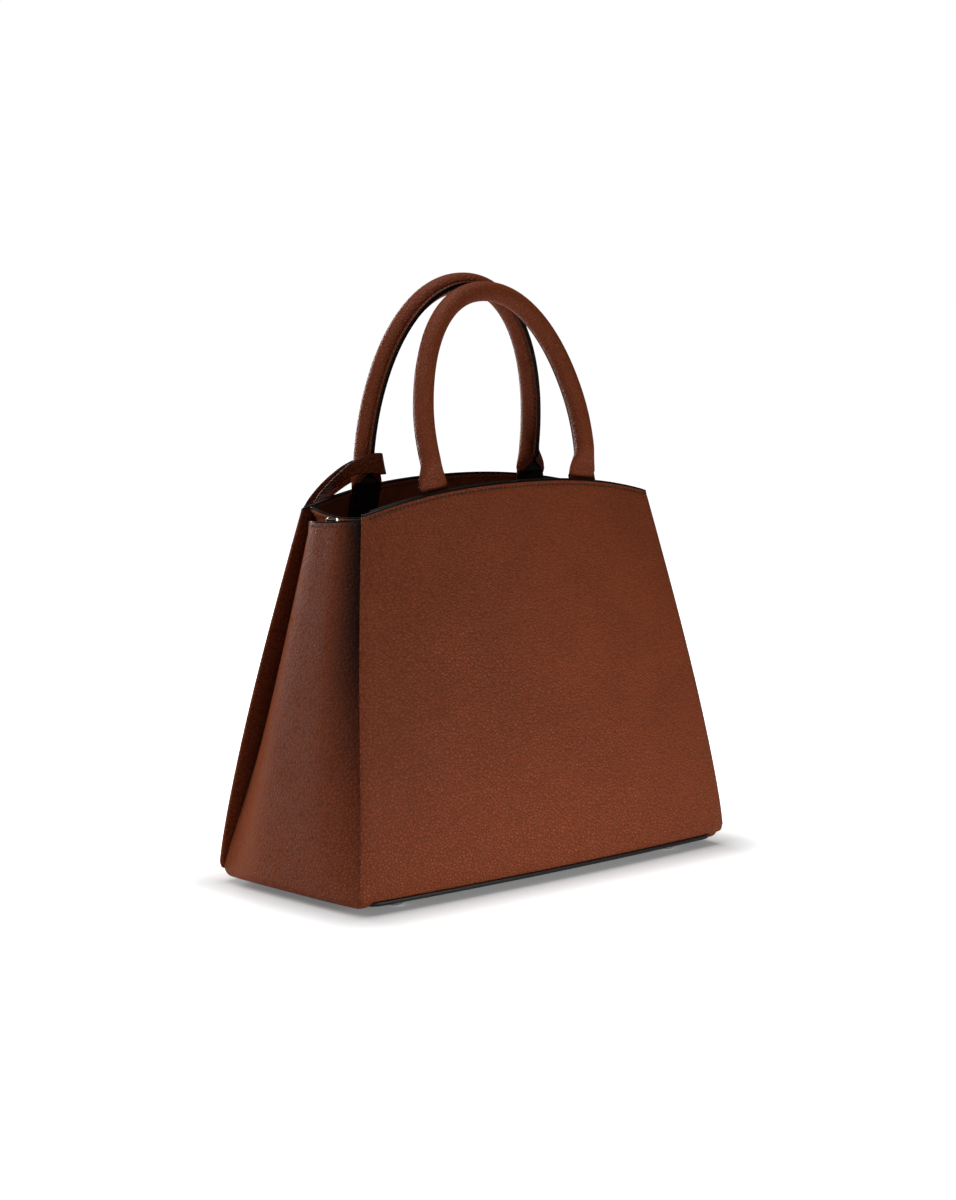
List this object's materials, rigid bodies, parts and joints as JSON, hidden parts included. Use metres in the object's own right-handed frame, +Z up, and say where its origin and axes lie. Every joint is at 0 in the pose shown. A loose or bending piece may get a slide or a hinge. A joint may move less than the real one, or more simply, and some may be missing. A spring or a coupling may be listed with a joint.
{
  "type": "handbag",
  "caption": "Structured A-line leather handbag with two rolled top handles, a snap, a zip pocket inside, strap rings and metal feet, for carrying in the hand or on the arm.",
  "frame": {"origin": "on the floor under the middle of the bag, in the plane of the four feet", "axes": "+X along the bag's width to the right as seen from its front, +Y towards its rear panel, +Z up"},
  "size_m": [0.32, 0.1494, 0.3792],
  "materials": {
    "grained_leather": "chestnut leather with a fine pebbled grain, low sheen",
    "smooth_leather": "smooth chestnut leather, matt",
    "black_leather": "black leather, painted edges",
    "lining_cloth": "brown twill lining",
    "zip_tape": "black woven tape",
    "board": "grey bonded board",
    "core_cord": "pale twisted cord",
    "polished_metal": "polished nickel",
    "plated_metal": "satin nickel plate"
  },
  "bodies": {
    "root": {"base_board": "board", "base_panel": "black_leather", "floor_lining": "lining_cloth", "front_facing": "smooth_leather", "front_left_anchor": "black_leather", "front_left_foot": "polished_metal", "front_left_washer": "plated_metal", "front_lining": "lining_cloth", "front_panel": "grained_leather", "front_right_anchor": "black_leather", "front_right_foot": "polished_metal", "front_right_washer": "plated_metal", "front_stiffener": "board", "left_gusset": "grained_leather", "left_gusset_band": "smooth_leather", "left_lining": "lining_cloth", "left_ring_tab": "grained_leather", "rear_facing": "smooth_leather", "rear_left_anchor": "black_leather", "rear_left_foot": "polished_metal", "rear_left_washer": "plated_metal", "rear_lining": "lining_cloth", "rear_panel": "grained_leather", "rear_right_anchor": "black_leather", "rear_right_foot": "polished_metal", "rear_right_washer": "plated_metal", "rear_stiffener": "board", "right_gusset": "grained_leather", "right_gusset_band": "smooth_leather", "right_lining": "lining_cloth", "right_ring_tab": "grained_leather", "slip_pocket": "lining_cloth", "snap_post": "plated_metal", "snap_socket": "plated_metal", "zip_chain": "plated_metal", "zip_pocket_pouch": "lining_cloth", "zip_tape": "zip_tape"},
    "front_handle": {"front_handle_cover": "grained_leather", "front_handle_core": "core_cord", "front_handle_left_tongue": "grained_leather", "front_handle_right_tongue": "grained_leather"},
    "rear_handle": {"rear_handle_cover": "grained_leather", "rear_handle_core": "core_cord", "rear_handle_left_tongue": "grained_leather", "rear_handle_right_tongue": "grained_leather", "tag_loop": "grained_leather"},
    "tag_strap": {"tag_strap": "grained_leather"},
    "hang_tag": {"hang_tag": "grained_leather"},
    "left_ring": {"left_ring": "polished_metal"},
    "right_ring": {"right_ring": "polished_metal"},
    "zip_slider": {"zip_slider": "plated_metal"},
    "zip_puller": {"zip_puller": "plated_metal"}
  },
  "joints": [
    {"name": "front_handle_tilt", "type": "hinge", "parent": "root", "child": "front_handle", "pos_m": [0, -0.02789, 0.25159], "axis": [1, 0, 0], "range_deg": [0, 60], "stiffness_Nm_per_rad": 0.35},
    {"name": "rear_handle_tilt", "type": "hinge", "parent": "root", "child": "rear_handle", "pos_m": [0, 0.02789, 0.25159], "axis": [-1, 0, 0], "range_deg": [0, 60], "stiffness_Nm_per_rad": 0.35},
    {"name": "tag_strap_hang", "type": "hinge", "parent": "rear_handle", "child": "tag_strap", "pos_m": [-0.06808, 0.02952, 0.26055], "axis": [-1, 0, 0], "range_deg": [-60, 0]},
    {"name": "tag_flip", "type": "hinge", "parent": "tag_strap", "child": "hang_tag", "pos_m": [-0.09897, 0.05169, 0.21559], "axis": [1, 0, 0], "range_deg": [0, 25]},
    {"name": "left_ring_tilt", "type": "hinge", "parent": "root", "child": "left_ring", "pos_m": [-0.12434, 0, 0.22473], "axis": [0, -1, 0], "range_deg": [-5, 9]},
    {"name": "right_ring_tilt", "type": "hinge", "parent": "root", "child": "right_ring", "pos_m": [0.12434, 0, 0.22473], "axis": [0, 1, 0], "range_deg": [-5, 9]},
    {"name": "zip_slide", "type": "slide", "parent": "root", "child": "zip_slider", "axis": [-1, 0, 0], "range_m": [0, 0.129]},
    {"name": "zip_puller_swing", "type": "hinge", "parent": "zip_slider", "child": "zip_puller", "pos_m": [0.0645, 0.0332, 0.182], "axis": [0, -0.9813, -0.1925], "range_deg": [-70, 70]}
  ],
  "couplings": [
    {"joint": "tag_strap_hang", "follows": "rear_handle_tilt", "ratio": -1}
  ]
}
